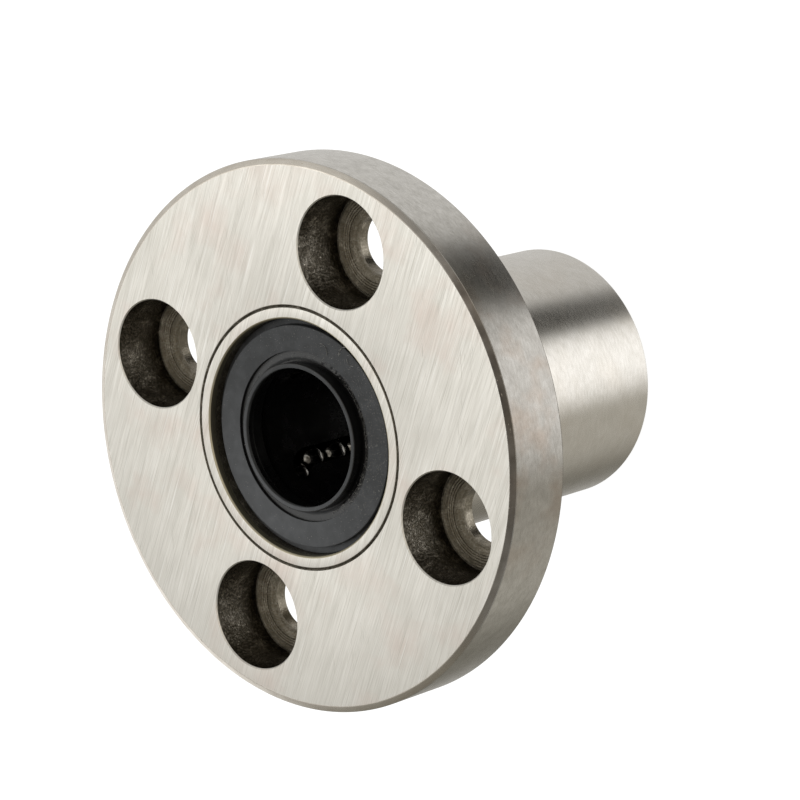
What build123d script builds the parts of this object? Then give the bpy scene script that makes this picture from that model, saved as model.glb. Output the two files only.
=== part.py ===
from build123d import *
import os
from math import asin, cos, degrees, floor, hypot, radians, sin, sqrt

# Round flange linear ball bearing. Lengths are in millimetres.
# +Z runs along the shaft, out of the front face of the flange. The origin is
# on the shaft axis, in the plane of the flange's rear face, which seats on the
# machine. The sleeve reaches down from there and is flush with the front face.

# Shaft and balls
shaft_radius = 5.0
shaft_gap = 0.015  # radial, between shaft and loaded balls
ball_diameter = 2.38125  # three thirty-seconds of an inch
row_gap = 0.04  # between neighbouring balls on a straight row
turn_gap = 0.05  # between the two balls on a turn
race_gap = 0.02  # radial, between loaded balls and raceway
return_gap = 0.1  # between returning balls and their groove in the sleeve
turn_space_gap = 0.02  # radial, from the return grooves out to the turn space
circuit_count = 4
circuit_start_angle = 8.0  # degrees from +X to the first loaded row
row_advance = 0.6  # how far the loaded rows stand forward of the middle

# Sleeve, the hardened outer cylinder
sleeve_length = 29.0
sleeve_end_wall = 0.9
sleeve_shoulder = 0.195  # step from the turn space out to the seal seat
sleeve_rear_chamfer = 0.3
sleeve_mouth_chamfer = 0.08
sleeve_relief_width = 0.8  # ground relief behind the flange, so that a housing seats flush
sleeve_relief_depth = 0.2

# Ball retainer, one moulding
retainer_bore_gap = 0.25  # radial, from shaft to retainer
retainer_side_gap = 0.12  # radial, from retainer to raceway
retainer_end_play = 0.05
retainer_end_wall = 0.5
channel_gap = 0.06  # radial, between ball and channel

# Stop rings, sprung into grooves in the sleeve
ring_thickness = 0.45
ring_grip = 0.1  # how far a ring reaches into its groove
ring_groove_gap = 0.02
ring_width = 1.9
ring_mouth = 3.2  # the split's width

# Seals, rubber
seal_recess = 0.65  # from the sleeve's end down to the seal's face
seal_thickness = 1.35
seal_fit = 0.01  # radial, between the seal's rim and its seat
seal_rim_width = 0.54
seal_rim_drop = 0.5
seal_lip_gap = 0.03  # radial, between shaft and lip
seal_lip_wall = 0.36
seal_lip_rise = 0.55  # the lip's height above the seal's face
seal_lip_depth = 0.7  # axial length of the lip's bore
seal_lip_rounding = 0.07
seal_trough_width = 0.78
seal_trough_drop = 0.2
seal_relief = 0.3  # radial, from the lip's bore out to the space behind it

# Flange
flange_thickness = 5.5
flange_fit = 0.01  # radial, sleeve to flange bore
flange_inner_web = 1.0  # from the sleeve to a counterbore
flange_rim_web = 1.5  # from a counterbore to the rim
flange_front_chamfer = 0.44  # radial
flange_front_chamfer_depth = 0.2
flange_rear_chamfer = 0.3
seam_chamfer = 0.12  # on sleeve and flange bore, where they meet in front
screw_count = 4
screw_start_angle = 45.0  # degrees from +X to the first screw
screw_hole_radius = 2.25
screw_hole_chamfer = 0.15
counterbore_radius = 4.0
counterbore_depth = 4.2
counterbore_chamfer = 0.08

# Ball circuit. Each circuit is a flat racetrack, square to the radius through
# its loaded row: a loaded row, a turn, a return row and a turn. The return row
# lies to the side of the loaded row, so it is further from the shaft.
ball_radius = ball_diameter / 2
ball_pitch = ball_diameter + row_gap
row_radius = shaft_radius + shaft_gap + ball_radius
turn_radius = (ball_diameter + turn_gap) / sqrt(2)
return_offset = 2 * turn_radius
channel_radius = ball_radius + channel_gap
balls_per_turn = 2
turn_step = 90.0  # degrees of turn for one ball pitch

# Radii that follow from the balls. The loaded rows run on the sleeve's bore.
# The returning balls stand further out, in grooves, and the turns are in a
# wider space at each end of the bore.
raceway_radius = row_radius + ball_radius + race_gap
return_groove_radius = ball_radius + return_gap
return_reach = hypot(row_radius, return_offset) + return_groove_radius
turn_space_radius = return_reach + turn_space_gap
seat_radius = turn_space_radius + sleeve_shoulder
sleeve_radius = seat_radius + sleeve_end_wall
screw_circle_radius = sleeve_radius + flange_inner_web + counterbore_radius
flange_radius = screw_circle_radius + counterbore_radius + flange_rim_web

# Heights
front_z = flange_thickness
rear_z = front_z - sleeve_length
middle_z = (front_z + rear_z) / 2
seal_back_depth = seal_recess + seal_thickness
shoulder_depth = seal_back_depth + ring_thickness
retainer_length = sleeve_length - 2 * (shoulder_depth + retainer_end_play)
row_room = retainer_length - 2 * (retainer_end_wall + turn_radius + channel_radius)
loaded_count = floor(row_room / ball_pitch)
row_length = loaded_count * ball_pitch
front_turn_z = middle_z + row_length / 2
rear_turn_z = middle_z - row_length / 2

# Shapes that cut
cut_margin = 1.0  # how far a cutting shape runs past the faces it cuts


def turned(*outline, sweep=360.0):
    """Turn an outline of (radius, height) points into a solid of revolution."""
    corners = [(radius, 0, height) for radius, height in outline]
    return revolve(make_face(Polyline(*corners, close=True)), Axis.Z, sweep)


def around(count, start_angle):
    """Turns about the shaft axis, evenly spaced."""
    return [Rot(0, 0, start_angle + 360 / count * k) for k in range(count)]


def sleeve_end(end_z, inward, turn_z):
    """The sleeve's inner outline at one end, from its mouth to the raceway."""
    groove_radius = seat_radius + ring_grip + ring_groove_gap
    slope = turn_space_radius - raceway_radius
    steps = [
        (seat_radius + sleeve_mouth_chamfer, 0),
        (seat_radius, sleeve_mouth_chamfer),
        (seat_radius, seal_back_depth),
        (groove_radius, seal_back_depth),
        (groove_radius, shoulder_depth),
        (turn_space_radius, shoulder_depth),
    ]
    outline = [(radius, end_z + inward * depth) for radius, depth in steps]
    return outline + [(turn_space_radius, turn_z - inward * slope), (raceway_radius, turn_z)]


def make_sleeve():
    """The hardened sleeve, ground inside as the raceway of the loaded rows."""
    relief_radius = sleeve_radius - sleeve_relief_depth
    body = turned(
        (sleeve_radius - seam_chamfer, front_z),
        (sleeve_radius, front_z - seam_chamfer),
        (sleeve_radius, 0),
        (relief_radius, 0),
        (relief_radius, -sleeve_relief_width),
        (sleeve_radius, -sleeve_relief_width),
        (sleeve_radius, rear_z + sleeve_rear_chamfer),
        (sleeve_radius - sleeve_rear_chamfer, rear_z),
        *sleeve_end(rear_z, 1, rear_turn_z),
        *reversed(sleeve_end(front_z, -1, front_turn_z)),
    )
    groove_axis = Pos(row_radius, return_offset, middle_z)
    groove = groove_axis * Cylinder(return_groove_radius, sleeve_length)
    for turn in around(circuit_count, circuit_start_angle):
        body -= turn * groove
    return body


def screw_pocket():
    """One counterbored screw hole, as the shape to cut away."""
    floor_z = front_z - counterbore_depth
    reach = counterbore_chamfer + cut_margin
    return turned(
        (0, -cut_margin),
        (screw_hole_radius, -cut_margin),
        (screw_hole_radius, floor_z - screw_hole_chamfer),
        (screw_hole_radius + screw_hole_chamfer, floor_z),
        (counterbore_radius, floor_z),
        (counterbore_radius, front_z - counterbore_chamfer),
        (counterbore_radius + reach, front_z + cut_margin),
        (0, front_z + cut_margin),
    )


def make_flange():
    bore_radius = sleeve_radius + flange_fit
    body = turned(
        (bore_radius, 0),
        (flange_radius - flange_rear_chamfer, 0),
        (flange_radius, flange_rear_chamfer),
        (flange_radius, front_z - flange_front_chamfer_depth),
        (flange_radius - flange_front_chamfer, front_z),
        (bore_radius + seam_chamfer, front_z),
        (bore_radius, front_z - seam_chamfer),
    )
    for turn in around(screw_count, screw_start_angle):
        body -= turn * Pos(screw_circle_radius, 0, 0) * screw_pocket()
    return body


def channel_section(side):
    """The ball channel's section at a sideways place: a round bottom, open outwards."""
    left = (row_radius, side - channel_radius, 0)
    right = (row_radius, side + channel_radius, 0)
    bottom = (row_radius - channel_radius, side, 0)
    open_left = (turn_space_radius, side - channel_radius, 0)
    open_right = (turn_space_radius, side + channel_radius, 0)
    walls = Polyline(right, open_right, open_left, left)
    return make_face([ThreePointArc(left, bottom, right), walls])


def ball_channel():
    """One circuit's racetrack channel, with its loaded row on the +X side."""
    row = Pos(0, 0, rear_turn_z) * extrude(channel_section(0), row_length)
    channel = row + Pos(0, return_offset, 0) * row
    for turn_z, sweep in ((front_turn_z, 180), (rear_turn_z, -180)):
        turn_axis = Axis((0, turn_radius, turn_z), (-1, 0, 0))
        channel += revolve(Pos(0, 0, turn_z) * channel_section(0), turn_axis, sweep)
    return channel


def make_retainer():
    """The retainer: a plain tube with a racetrack channel for each circuit.

    Under a loaded row the channel breaks into the bore, in a slot narrower than
    a ball, and the slot's ends hook round with the turns.
    """
    half = retainer_length / 2
    bore_radius = shaft_radius + retainer_bore_gap
    outer_radius = raceway_radius - retainer_side_gap
    body = turned(
        (bore_radius, middle_z - half),
        (outer_radius, middle_z - half),
        (outer_radius, middle_z + half),
        (bore_radius, middle_z + half),
    )
    for turn in around(circuit_count, circuit_start_angle):
        body -= turn * ball_channel()
    return body


def make_stop_ring(end_z, inward):
    """A split ring in its groove, between the seal and the sleeve's shoulder."""
    outer_radius = seat_radius + ring_grip
    inner_radius = outer_radius - ring_width
    near_z = end_z + inward * seal_back_depth
    far_z = end_z + inward * shoulder_depth
    outline = ((inner_radius, near_z), (outer_radius, near_z), (outer_radius, far_z), (inner_radius, far_z))
    mouth_angle = degrees(2 * asin(ring_mouth / 2 / outer_radius))
    return Rot(0, 0, mouth_angle / 2) * turned(*outline, sweep=360 - mouth_angle)


def make_seal(end_z, inward):
    """A rubber seal: a stepped disc with a raised lip round the shaft."""
    rim_radius = seat_radius - seal_fit
    face_radius = rim_radius - seal_rim_width
    bore_radius = shaft_radius + seal_lip_gap
    lip_radius = bore_radius + seal_lip_wall
    trough_radius = lip_radius + seal_trough_width
    relief_radius = bore_radius + seal_relief
    rim_depth = seal_recess + seal_rim_drop
    trough_depth = seal_recess + seal_trough_drop
    lip_top = seal_recess - seal_lip_rise
    lip_end = lip_top + seal_lip_depth
    steps = [
        (rim_radius, seal_back_depth),
        (rim_radius, rim_depth),
        (face_radius, rim_depth),
        (face_radius, seal_recess),
        (trough_radius, seal_recess),
        (trough_radius, trough_depth),
        (lip_radius, trough_depth),
        (lip_radius, lip_top + seal_lip_rounding),
        (lip_radius - seal_lip_rounding, lip_top),
        (bore_radius + seal_lip_rounding, lip_top),
        (bore_radius, lip_top + seal_lip_rounding),
        (bore_radius, lip_end),
        (relief_radius, lip_end + seal_relief),
        (relief_radius, seal_back_depth),
    ]
    return turned(*[(radius, end_z + inward * depth) for radius, depth in steps])


def ball_group(turn, places):
    """One ball at each (sideways, height) place in the plane of a circuit."""
    ball = Sphere(ball_radius)
    return [turn * Pos(row_radius, side, height) * ball for side, height in places]


def straight_places(side, advance):
    """Ball places along a straight row."""
    first = -(loaded_count - 1) / 2
    heights = [middle_z + advance + (first + k) * ball_pitch for k in range(loaded_count)]
    return [(side, height) for height in heights]


def turn_places(turn_z, toward):
    """Ball places round a turn. The front turn's toward is 1 and the rear's is -1."""
    first = turn_step / 2 + turn_step * row_advance / ball_pitch
    places = []
    for k in range(balls_per_turn):
        angle = radians(first + turn_step * k)
        side = turn_radius - toward * turn_radius * cos(angle)
        places.append((side, turn_z + toward * turn_radius * sin(angle)))
    return places


def make_balls():
    """The balls of every circuit, by node name: two rows and two turns each."""
    groups = {}
    for number, turn in enumerate(around(circuit_count, circuit_start_angle), start=1):
        loaded = straight_places(0, row_advance)
        returning = straight_places(return_offset, -row_advance)
        groups[f"loaded_balls_{number}"] = ball_group(turn, loaded)
        groups[f"return_balls_{number}"] = ball_group(turn, returning)
        groups[f"front_turn_balls_{number}"] = ball_group(turn, turn_places(front_turn_z, 1))
        groups[f"rear_turn_balls_{number}"] = ball_group(turn, turn_places(rear_turn_z, -1))
    return groups


def write_node(name, shape):
    """Write one sub-part: a single solid, or a group of separate ones."""
    solids = shape if isinstance(shape, list) else [shape]
    whole = Compound(children=[piece.solid() for piece in solids])
    export_step(whole if len(solids) > 1 else solids[0].solid(), f"parts/{name}.step")


nodes = {
    "flange": make_flange(),
    "outer_sleeve": make_sleeve(),
    "ball_retainer": make_retainer(),
    "front_stop_ring": make_stop_ring(front_z, -1),
    "rear_stop_ring": make_stop_ring(rear_z, 1),
    "front_seal": make_seal(front_z, -1),
    "rear_seal": make_seal(rear_z, 1),
    **make_balls(),
}

os.makedirs("parts", exist_ok=True)
for name, shape in nodes.items():
    write_node(name, shape)
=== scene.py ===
"""Looks of a round flange linear ball bearing, dressed over its solids.

Sizes in the classes are millimetres, measured in the part's own frame: the
shaft axis is Z, and the rear face of the flange is at height zero. A mesh is
made in millimetres and brought to metres when its piece is finished.
"""

import logging
from dataclasses import dataclass
from enum import Enum
from functools import cache
from math import atan2, cos, hypot, pi, radians, sin
from typing import Any

import bmesh
import bpy
from bpy.types import Material, Node, NodeSocket, NodeTree, Object
from mathutils import Matrix, Vector


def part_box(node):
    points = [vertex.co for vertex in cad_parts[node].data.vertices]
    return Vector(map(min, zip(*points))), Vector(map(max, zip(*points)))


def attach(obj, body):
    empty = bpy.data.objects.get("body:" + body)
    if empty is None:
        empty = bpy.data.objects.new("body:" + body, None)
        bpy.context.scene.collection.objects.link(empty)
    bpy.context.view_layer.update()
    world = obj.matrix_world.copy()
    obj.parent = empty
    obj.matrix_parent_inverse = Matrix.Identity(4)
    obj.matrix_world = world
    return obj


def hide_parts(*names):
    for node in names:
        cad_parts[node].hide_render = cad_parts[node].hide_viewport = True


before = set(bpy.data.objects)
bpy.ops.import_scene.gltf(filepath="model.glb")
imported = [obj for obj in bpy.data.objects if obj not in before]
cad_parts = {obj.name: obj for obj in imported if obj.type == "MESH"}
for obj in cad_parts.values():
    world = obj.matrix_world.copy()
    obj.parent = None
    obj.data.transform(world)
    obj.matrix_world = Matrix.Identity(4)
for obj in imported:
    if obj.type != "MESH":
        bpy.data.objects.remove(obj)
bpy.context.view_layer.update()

log = logging.getLogger("bearing")

Span = tuple[float, float]
Colour = tuple[float, float, float, float]

MM = 0.001  # metres in a millimetre
MAIN_BODY = "bearing"
WHITE = (1.0, 1.0, 1.0, 1.0)
FULL = (0.0, 1.0)  # the whole of a value that already runs from zero to one
NEAR_AXIS = 0.001  # the smallest ring that closes a turned bar at its axis
CREASE = 12.0  # degrees; a sharper turn between two faces stays a crisp edge
SHARED_ROOM = 0.45  # of an edge, for a rounding that has another one at the edge's far end
OWN_ROOM = 0.9  # of an edge, for a rounding that has the edge to itself
MARK_DETAIL = 3.0  # octaves of the noise
CLOUD_DETAIL = 4.0
BALL_FINENESS = 4  # subdivisions of an icosphere
SPECK_FINENESS = 1
FIBRE_STEPS = 24
FIBRE_SIDES = 6
FIBRE_TURNS = 0.32  # of a full turn, so that a fibre is a gentle arc
FIBRE_TIGHTENING = 0.6  # the radius at a fibre's end, as a share of that at its start
FIBRE_RISE = 5.0  # how far its end lifts off, in thicknesses
UPWARD = 0.9  # the least rise of the normal of a face that dust lies on
LEAN_SPAN = (0.35, 0.95)  # cosines, from where dust begins to where it is thickest
LEAST_DUST = 0.012  # the share of the full density that lies everywhere
DUST_SIZES = (0.3, 1.0)
DUST_SEED = 7

MATH = "ShaderNodeMath"
VECTOR = "ShaderNodeVectorMath"
RANGE = "ShaderNodeMapRange"
MIX = "ShaderNodeMix"
BUMP = "ShaderNodeBump"
COMBINE = "ShaderNodeCombineXYZ"
RANDOM = "FunctionNodeRandomValue"
INSTANCE = "GeometryNodeInstanceOnPoints"


def linear(code: str) -> Colour:
    """Turn an sRGB hex colour into linear light, by the sRGB standard's own curve.

    Args:
        code: a colour such as "C8C4BC"

    Returns:
        Red, green, blue and an alpha of one.
    """
    parts = [int(code[k : k + 2], 16) / 255 for k in (0, 2, 4)]
    curved = [c / 12.92 if c <= 0.04045 else ((c + 0.055) / 1.055) ** 2.4 for c in parts]
    return (*curved, 1.0)


def scaled(colour: Colour, level: float) -> Colour:
    """A linear colour made so many times brighter."""
    return (*(c * level for c in colour[:3]), 1.0)


def flat_heading(angle: float) -> tuple[float, float, float]:
    """The level unit vector at an angle from +X, in degrees."""
    return (cos(radians(angle)), sin(radians(angle)), 0.0)


def add_object(name: str, data: Any) -> Object:
    """Put a new object in the scene, at the origin."""
    made = bpy.data.objects.new(name, data)
    bpy.context.scene.collection.objects.link(made)
    return made


@dataclass
class Net:
    """A node tree in the making, and the point that it works on, in millimetres."""

    tree: NodeTree
    place: Node | None = None

    def feed(self, node: Node, inputs: dict | tuple) -> None:
        """Give a node's inputs their values and links.

        Args:
            node: the node to feed
            inputs: for each input, by name or number or simply in order: a value, an
                output, or a node, which stands for the first of its outputs in use
        """
        pairs = inputs.items() if isinstance(inputs, dict) else enumerate(inputs)
        for key, value in pairs:
            if isinstance(value, Node):
                value = next(output for output in value.outputs if output.enabled)
            if isinstance(value, NodeSocket):
                self.tree.links.new(value, node.inputs[key])
            else:
                node.inputs[key].default_value = value

    def add(self, kind: str, inputs: dict | tuple = (), **settings: Any) -> Node:
        """Add one node, with its settings and what feeds it.

        Args:
            kind: the node's type
            inputs: what feeds it, as in feed
            settings: the node's own properties

        Returns:
            The new node.
        """
        node = self.tree.nodes.new(kind)
        for name, value in settings.items():
            setattr(node, name, value)
        self.feed(node, inputs)
        return node

    def cloud(self, size: float, span: Span) -> Node:
        """Soft cloudy noise, from zero to one.

        Args:
            size: the size of a patch, in millimetres
            span: the part of the noise that is stretched to run from zero to one

        Returns:
            The node that gives it.
        """
        noise = {"Vector": self.place, "Scale": 1 / size, "Detail": CLOUD_DETAIL}
        return self.add(RANGE, (self.add("ShaderNodeTexNoise", noise), *span))

    def facing(self, angle: float) -> Node:
        """How far the point lies towards an angle about the shaft axis, from minus one to one."""
        flat = self.add(VECTOR, (self.place, (1.0, 1.0, 0.0)), operation="MULTIPLY")
        unit = self.add(VECTOR, (flat,), operation="NORMALIZE")
        return self.add(VECTOR, (unit, flat_heading(angle)), operation="DOT_PRODUCT")

    def coated(self, base: str, *coats: tuple[Any, str]) -> Node:
        """Lay colours over a base colour, one after the other.

        Args:
            base: the colour underneath
            coats: the share and the colour of each coat

        Returns:
            The node that gives the top colour.
        """
        colour: Any = linear(base)
        for share, code in coats:
            colour = self.add(MIX, {"Factor": share, "A": colour, "B": linear(code)}, data_type="RGBA")
        return colour


@dataclass(frozen=True)
class Surface:
    """What a face is made of and how it was made.

    A span is the part of a noise that is stretched to run from zero to one.
    """

    name: str

    @cache
    def material(self) -> Material:
        """Build the material, the first time that it is asked for."""
        made = bpy.data.materials.new(self.name)
        made.use_nodes = True
        net = Net(made.node_tree)
        metres = net.add("ShaderNodeTexCoord").outputs["Object"]
        net.place = net.add("ShaderNodeMapping", {"Vector": metres, "Scale": (1 / MM,) * 3})
        net.feed(net.tree.nodes["Principled BSDF"], self.look(net))
        return made

    def look(self, net: Net) -> dict[str, Any]:
        """Work out what feeds the shader.

        Args:
            net: the material's tree

        Returns:
            What feeds each of the shader's inputs, by name.
        """
        raise NotImplementedError


class Lay(Enum):
    """Which way the marks of a machined surface run."""

    STRAIGHT = "straight across the flat faces, left by a surface grinder"
    ROUND = "round the shaft axis, left by a lathe or a cylindrical grinder"


@dataclass(frozen=True)
class MachinedSteel(Surface):
    """Bare machined bearing steel: a warm grey metal with fine parallel marks.

    The marks are noise stretched along the lay. Finer marks than a pixel can't
    show, so the spacing is about twice that of a real grinding wheel's grit.
    """

    lay: Lay
    pale: str
    dark: str
    stain: str
    roughness: float
    streak_gloss: Span = (0.9, 1.15)  # the roughness of the palest and darkest streaks, as shares
    lay_angle: float = 0.0  # degrees from +X, of straight marks
    mark_length: float = 3.5
    mark_spacing: float = 0.07
    mark_depth: float = 0.002
    mark_contrast: float = 0.5
    mark_skew: float = 2.5  # degrees from the lay, one way for fine marks and the other for coarse
    coarse_widening: float = 1.8
    streak_span: Span = (0.75, 1.25)  # of fine and coarse marks together
    scratch_widening: float = 0.6
    scratch_skew: float = 24.0
    scratch_span: Span = (0.68, 0.74)
    scratch_share: float = 1.0
    # Scores are drawn as pale bands with dark bands beside them: painted highlights and painted shades of
    # scratch flanks.
    score_widening: float = 0.85
    score_stretch: float = 2.2  # how many times longer the scores are than the marks
    score_highlight_span: Span = (0.6, 0.7)
    score_shade_span: Span = (0.4, 0.3)
    score_share: float = 0.0
    score_highlight: str = "FFFEFA"
    blotch_size: float = 2.5
    blotch_span: Span = (0.38, 0.62)
    blotch_contrast: float = 0.25
    stain_size: float = 6.0
    stain_span: Span = (0.5, 0.7)
    stain_share: float = 0.25
    # a painted shade: a mottled darkening towards one side of a turned face, where a side is given
    painted_shade: str = "87837D"
    painted_shade_side: float | None = None  # degrees from +X, of the side where the painted shade is darkest
    painted_shade_reach: float = 42.0  # degrees each way, where it has faded out
    painted_shade_size: float = 2.0
    painted_shade_span: Span = (0.2, 0.75)
    painted_shade_mottling: float = 0.3
    painted_shade_share: float = 0.68
    anisotropy: float = 0.5
    spread_across: float = 0.25  # of a full turn: light spreads across the marks

    def marks(self, net: Net, widening: float, skew: float, stretch: float = 1.0) -> Node:
        """Noise stretched along the lay, from zero to one.

        Args:
            net: the material's tree
            widening: how many times coarser these marks are than the finest
            skew: how far they turn from the lay, in degrees
            stretch: how many times longer they are for their width

        Returns:
            The node that gives their height.
        """
        along = self.mark_length * widening * stretch
        across = self.mark_spacing * widening
        if self.lay is Lay.STRAIGHT:
            size, turn = (along, across, along), radians(self.lay_angle + skew)
        else:
            size, turn = (along, along, across), radians(skew)
        laid = {"Vector": net.place, "Rotation": (0, 0, turn), "Scale": size}
        mapped = net.add("ShaderNodeMapping", laid, vector_type="TEXTURE")
        return net.add("ShaderNodeTexNoise", {"Vector": mapped, "Scale": 1.0, "Detail": MARK_DETAIL})

    def look(self, net: Net) -> dict[str, Any]:
        """Streaked metal, with stains and scratches, a painted shade on one side, and scores drawn with
        painted highlights and shades.
        """
        fine = self.marks(net, 1.0, -self.mark_skew)
        coarse = self.marks(net, self.coarse_widening, self.mark_skew)
        both = net.add(MATH, (fine, coarse), operation="ADD")
        streaks = net.add(RANGE, (both, *self.streak_span))
        blotches = net.cloud(self.blotch_size, self.blotch_span)
        shade = net.add(MIX, {"Factor": self.blotch_contrast, "A": streaks, "B": blotches})
        shade = net.add(MATH, (shade, self.mark_contrast), operation="MULTIPLY")
        stains = net.cloud(self.stain_size, self.stain_span)
        stains = net.add(MATH, (stains, self.stain_share), operation="MULTIPLY")
        film = painted_highlight = painted_score_shade = 0.0
        # Painted shade: towards the given side a mottled film darkens the metal, and the stains are kept
        # to that side.
        if self.painted_shade_side is not None:
            toward = net.facing(self.painted_shade_side)
            side = net.add(RANGE, (toward, cos(radians(self.painted_shade_reach)), 1.0))
            stains = net.add(MATH, (stains, side), operation="MULTIPLY")
            mottled = net.cloud(self.painted_shade_size, self.painted_shade_span)
            film = net.add(MIX, {"Factor": self.painted_shade_mottling, "A": side, "B": mottled})
            film = net.add(MATH, (film, side), operation="MINIMUM")
            film = net.add(MATH, (film, self.painted_shade_share), operation="MULTIPLY")
        # Painted highlight and painted shade: the pale and dark bands of the scores.
        if self.score_share:
            scores = self.marks(net, self.score_widening, 0.0, self.score_stretch)
            painted_highlight = net.add(RANGE, (scores, *self.score_highlight_span, 0.0, self.score_share))
            painted_score_shade = net.add(RANGE, (scores, *self.score_shade_span, 0.0, self.score_share))
        scratches = self.marks(net, self.scratch_widening, self.scratch_skew)
        scratches = net.add(RANGE, (scratches, *self.scratch_span, 0.0, self.scratch_share))
        # The last of these coats is the painted shade on one side.
        worn = ((shade, self.dark), (stains, self.stain), (film, self.painted_shade))
        cut = ((painted_highlight, self.score_highlight), (painted_score_shade, self.dark), (scratches, self.dark))
        if self.lay is Lay.STRAIGHT:
            tangent = net.add(COMBINE, flat_heading(self.lay_angle))
        else:
            tangent = net.add("ShaderNodeTangent", direction_type="RADIAL", axis="Z")
        height = net.add(MATH, (both, scratches), operation="SUBTRACT")
        gloss = [self.roughness * share for share in self.streak_gloss]
        return {
            "Base Color": net.coated(self.pale, *worn, *cut),
            "Metallic": 1.0,
            "Roughness": net.add(RANGE, (streaks, *FULL, *gloss)),
            "Normal": net.add(BUMP, {"Height": height, "Distance": self.mark_depth * MM}),
            "Anisotropic": self.anisotropy,
            "Anisotropic Rotation": self.spread_across,
            "Tangent": tangent,
        }


@dataclass(frozen=True)
class ScaledSteel(Surface):
    """Steel left with its dark heat-treating scale: nearly black, rough and speckled."""

    name: str = "scaled_steel"
    dark: str = "565146"
    worn: str = "BDB6A8"
    roughness: float = 0.4
    grain_gloss: float = 0.7  # the roughness of the grain's tops, as a share
    metallic: float = 0.75  # the scale is an oxide, worn through to the metal in places
    grain_size: float = 0.13
    grain_depth: float = 0.04
    grain_span: Span = (0.35, 0.7)
    worn_size: float = 0.9
    worn_span: Span = (0.45, 0.75)
    worn_weight: float = 0.5  # against the grain's

    def look(self, net: Net) -> dict[str, Any]:
        """Dark grain, pale where it is worn."""
        grain = net.cloud(self.grain_size, self.grain_span)
        worn = net.cloud(self.worn_size, self.worn_span)
        shade = net.add(MIX, {"Factor": self.worn_weight, "A": grain, "B": worn})
        shade = net.add(MATH, (shade, shade), operation="MULTIPLY")
        gloss = (self.roughness, self.roughness * self.grain_gloss)
        return {
            "Base Color": net.coated(self.dark, (shade, self.worn)),
            "Metallic": self.metallic,
            "Roughness": net.add(RANGE, (grain, *FULL, *gloss)),
            "Normal": net.add(BUMP, {"Height": grain, "Distance": self.grain_depth * MM}),
        }


@dataclass(frozen=True)
class MouldedPolymer(Surface):
    """Moulded nitrile rubber or nylon: a dark, dull solid with a fine grain from its mould."""

    colour: str
    bloom: str
    roughness: float
    bloom_roughness: float = 0.9
    grain_size: float = 0.12
    grain_depth: float = 0.004
    grain_span: Span = (0.3, 0.7)
    bloom_size: float = 1.4
    bloom_span: Span = (0.4, 0.8)
    bloom_share: float = 0.3
    pale_side: float | None = None  # degrees from +X, of the side towards which it is paler and duller
    side_span: Span = (-0.2, 1.0)
    side_share: float = 0.45

    def look(self, net: Net) -> dict[str, Any]:
        """Dark polymer, with a pale bloom in patches, and paler and duller towards one side."""
        bloom = net.cloud(self.bloom_size, self.bloom_span)
        bloom = net.add(MATH, (bloom, self.bloom_share), operation="MULTIPLY")
        if self.pale_side is not None:
            toward = net.facing(self.pale_side)
            film = net.add(RANGE, (toward, *self.side_span, 0.0, self.side_share))
            bloom = net.add(MATH, (bloom, film), operation="ADD")
        grain = net.cloud(self.grain_size, self.grain_span)
        gloss = (self.roughness, self.bloom_roughness)
        return {
            "Base Color": net.coated(self.colour, (bloom, self.bloom)),
            "Roughness": net.add(RANGE, (bloom, *FULL, *gloss)),
            "Normal": net.add(BUMP, {"Height": grain, "Distance": self.grain_depth * MM}),
        }


@dataclass(frozen=True)
class ShadowedTrough(Surface):
    """Nitrile rubber beside a lip: dry and grey, and black and glossy on one side, where the lip's painted
    shadow lies on oil.
    """

    name: str = "oiled_trough_rubber"
    dry: str = "474849"
    shadowed: str = "0B0B0C"
    shadow_side: float = -22.0  # degrees from +X, of the side that holds the painted shadow
    side_span: Span = (0.3, 0.95)
    ragged_size: float = 0.35
    ragged_span: Span = (0.3, 0.7)
    shadow_span: Span = (0.85, 1.0)
    dry_roughness: float = 0.6
    wet_roughness: float = 0.3

    def look(self, net: Net) -> dict[str, Any]:
        """Dry rubber, and the lip's painted shadow, glossy with oil, with a ragged edge."""
        side = net.add(RANGE, (net.facing(self.shadow_side), *self.side_span))
        ragged = net.cloud(self.ragged_size, self.ragged_span)
        both = net.add(MATH, (side, ragged), operation="ADD")
        painted_shadow = net.add(RANGE, (both, *self.shadow_span))
        gloss = (self.dry_roughness, self.wet_roughness)
        return {
            "Base Color": net.coated(self.dry, (painted_shadow, self.shadowed)),
            "Roughness": net.add(RANGE, (painted_shadow, *FULL, *gloss)),
        }


@dataclass(frozen=True)
class LappedSteel(Surface):
    """Lapped ball steel: a hard mirror with a faint film of oil."""

    name: str = "lapped_ball_steel"
    colour: str = "A3A19D"
    film: str = "45433F"
    roughness: float = 0.07
    film_roughness: float = 0.14
    film_size: float = 0.4
    film_span: Span = (0.35, 0.6)

    def look(self, net: Net) -> dict[str, Any]:
        """Bright metal, dulled where the oil lies."""
        film = net.cloud(self.film_size, self.film_span)
        gloss = (self.roughness, self.film_roughness)
        return {
            "Base Color": net.coated(self.colour, (film, self.film)),
            "Metallic": 1.0,
            "Roughness": net.add(RANGE, (film, *FULL, *gloss)),
        }


@dataclass(frozen=True)
class Lint(Surface):
    """Pale dust and lint: dry, matt and nearly colourless."""

    name: str = "lint"
    pale: str = "A3A29F"
    dark: str = "5E5D5A"
    fleck_size: float = 0.3
    fleck_span: Span = (0.4, 0.6)
    roughness: float = 0.95

    def look(self, net: Net) -> dict[str, Any]:
        """Pale and dark flecks."""
        flecks = net.cloud(self.fleck_size, self.fleck_span)
        return {"Base Color": net.coated(self.dark, (flecks, self.pale)), "Roughness": self.roughness}


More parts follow.
